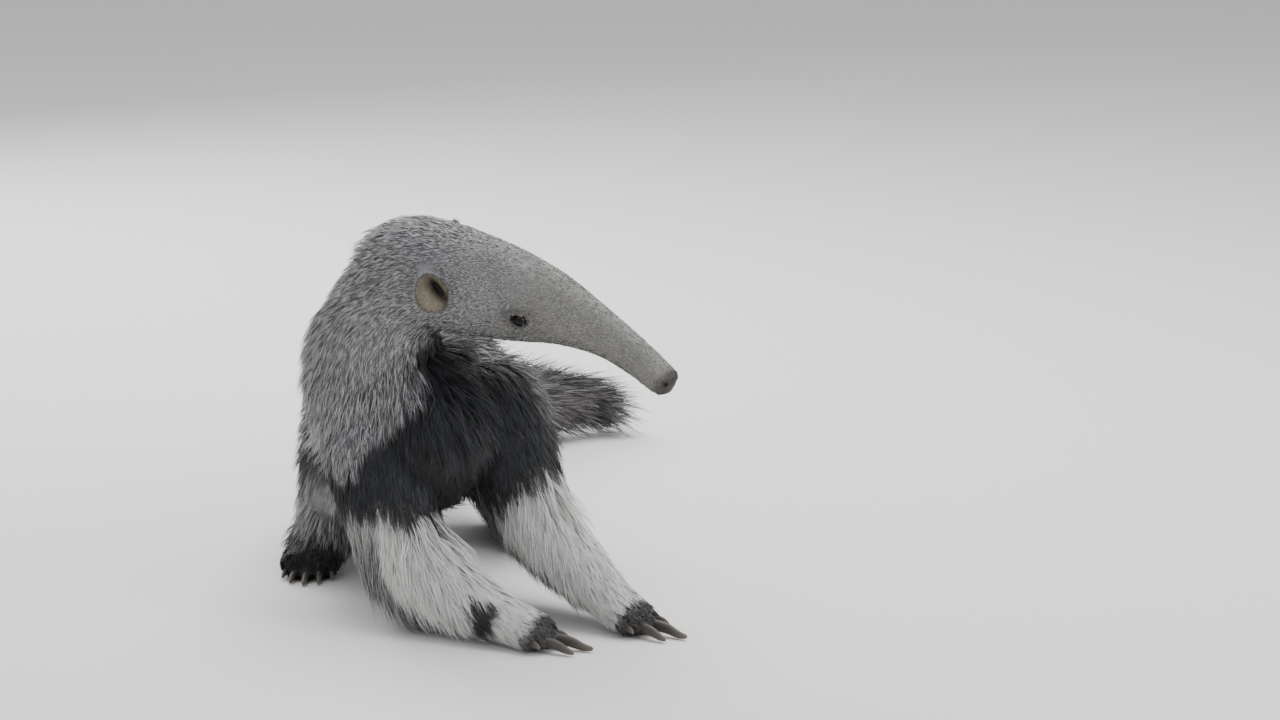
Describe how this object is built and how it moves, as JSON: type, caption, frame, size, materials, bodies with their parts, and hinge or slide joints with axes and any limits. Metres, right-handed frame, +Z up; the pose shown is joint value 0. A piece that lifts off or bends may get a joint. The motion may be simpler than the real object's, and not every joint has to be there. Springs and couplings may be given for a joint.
{
  "type": "young giant anteater",
  "caption": "Life-size still model of a young giant anteater crouching on its forearms with its long head raised and turned to its left and its bushy tail laid on the floor behind.",
  "frame": {"origin": "on the floor, under the middle of the whole outline", "axes": "+Z up; the animal faces -Y and its tail lies towards +Y; its right side is on -X, and its head is turned towards +X"},
  "size_m": [0.4248, 0.7136, 0.3104],
  "materials": {
    "dark_coat": "bristly black-brown hair with pale grizzled tips",
    "grey_coat": "short salt-and-pepper grey hair",
    "pale_coat": "long whitish hair over the forearm",
    "tail_hair": "long coarse grizzled dark hair",
    "ear_skin": "thin grey-brown skin with sparse fine hair",
    "eye": "wet, very dark brown",
    "claw": "dull dark horn with lengthwise streaks"
  },
  "bodies": {
    "root": {"torso": "dark_coat", "head": "grey_coat", "neck": "grey_coat", "foreleg_right": "pale_coat", "foreleg_left": "pale_coat", "hind_leg_right": "dark_coat", "hind_leg_left": "dark_coat", "tail_base": "tail_hair", "tail_end": "tail_hair", "ear_right": "ear_skin", "eye_right": "eye", "ear_left": "ear_skin", "eye_left": "eye", "fore_claw_right_1": "claw", "fore_claw_right_2": "claw", "fore_claw_right_3": "claw", "fore_claw_right_4": "claw", "fore_claw_left_1": "claw", "fore_claw_left_2": "claw", "fore_claw_left_3": "claw", "fore_claw_left_4": "claw", "hind_claw_right_1": "claw", "hind_claw_right_2": "claw", "hind_claw_right_3": "claw", "hind_claw_right_4": "claw", "hind_claw_right_5": "claw", "hind_claw_left_1": "claw", "hind_claw_left_2": "claw", "hind_claw_left_3": "claw", "hind_claw_left_4": "claw", "hind_claw_left_5": "claw"}
  },
  "joints": []
}
